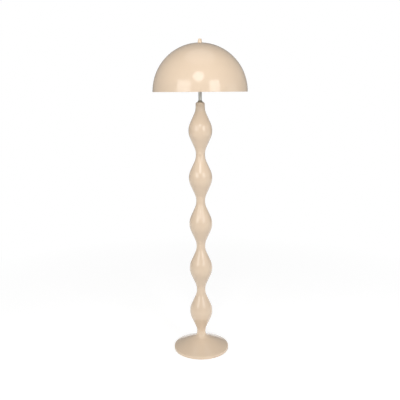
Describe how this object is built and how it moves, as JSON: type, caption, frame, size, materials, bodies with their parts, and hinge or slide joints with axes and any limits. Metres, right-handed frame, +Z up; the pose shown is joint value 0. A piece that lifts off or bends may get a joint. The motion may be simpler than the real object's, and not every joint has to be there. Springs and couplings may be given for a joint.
{
  "type": "floor lamp",
  "caption": "Floor lamp with a half-round dome shade, a turned stem of round bulges and a flared round foot, finished in gloss lacquer.",
  "frame": {"origin": "on the floor, on the lamp's upright axis, under the felt pad", "axes": "+Z up along the lamp's axis; +Y towards the back, where the cord bush is; +X to the right seen from the front, along the lampholders"},
  "size_m": [0.4499, 0.45, 1.55],
  "materials": {
    "lacquer": "gloss",
    "felt": "matte",
    "zinc_steel": "satin",
    "cast_iron": "matte",
    "black_plastic": "matte",
    "satin_steel": "satin",
    "dark_metal": "satin",
    "white_lacquer": "satin",
    "porcelain": "gloss",
    "brass": "polished",
    "white_plastic": "satin",
    "nickel": "polished",
    "opal_glass": "satin",
    "nylon": "satin"
  },
  "bodies": {
    "stand": {"felt_pad": "felt", "base_plate": "zinc_steel", "base_screws": "zinc_steel", "base_weight": "cast_iron", "base_nut": "zinc_steel", "base_washer": "zinc_steel", "base_spacer": "zinc_steel", "base_cover": "lacquer", "cord_bush": "black_plastic", "stem_section_1": "lacquer", "stem_section_2": "lacquer", "stem_section_3": "lacquer", "stem_section_4": "lacquer", "stem_section_5": "lacquer", "stem_cap": "lacquer", "tie_rod": "zinc_steel", "ferrule": "dark_metal", "upper_rod": "satin_steel", "junction_cup": "white_lacquer", "junction_lid": "white_lacquer", "junction_nut": "zinc_steel", "terminal_block": "porcelain", "arm_nipples": "zinc_steel", "arm_nuts": "zinc_steel", "centre_rod": "zinc_steel", "shade_seat": "zinc_steel", "seat_nut": "zinc_steel", "holder_cap_left": "white_plastic", "holder_sleeve_left": "white_plastic", "insulator_left": "porcelain", "screw_shell_left": "brass", "centre_contact_left": "brass", "holder_cap_right": "white_plastic", "holder_sleeve_right": "white_plastic", "insulator_right": "porcelain", "screw_shell_right": "brass", "centre_contact_right": "brass"},
    "shade": {"shade": "lacquer"},
    "finial_washer": {"finial_washer": "nylon"},
    "finial": {"finial": "lacquer"},
    "bulb_left": {"bulb_cap_left": "nickel", "bulb_glass_left": "opal_glass"},
    "bulb_right": {"bulb_cap_right": "nickel", "bulb_glass_right": "opal_glass"}
  },
  "joints": [
    {"name": "shade_lift", "type": "slide", "parent": "stand", "child": "shade", "axis": [0, 0, 1], "range_m": [0, 0.25]},
    {"name": "finial_turn", "type": "hinge", "parent": "shade", "child": "finial_washer", "pos_m": [0, 0, 1.532], "axis": [0, 0, 1], "range_deg": [0, 2880]},
    {"name": "finial_rise", "type": "slide", "parent": "finial_washer", "child": "finial", "axis": [0, 0, 1], "range_m": [0, 0.0081]},
    {"name": "bulb_left_turn", "type": "hinge", "parent": "stand", "child": "bulb_left", "pos_m": [-0.1, 0, 1.394], "axis": [-1, 0, 0], "range_deg": [0, 2160]},
    {"name": "bulb_right_turn", "type": "hinge", "parent": "stand", "child": "bulb_right", "pos_m": [0.1, 0, 1.394], "axis": [1, 0, 0], "range_deg": [0, 2160]}
  ],
  "couplings": [
    {"joint": "finial_rise", "follows": "finial_turn", "m_per_rad": 0.00015915}
  ]
}
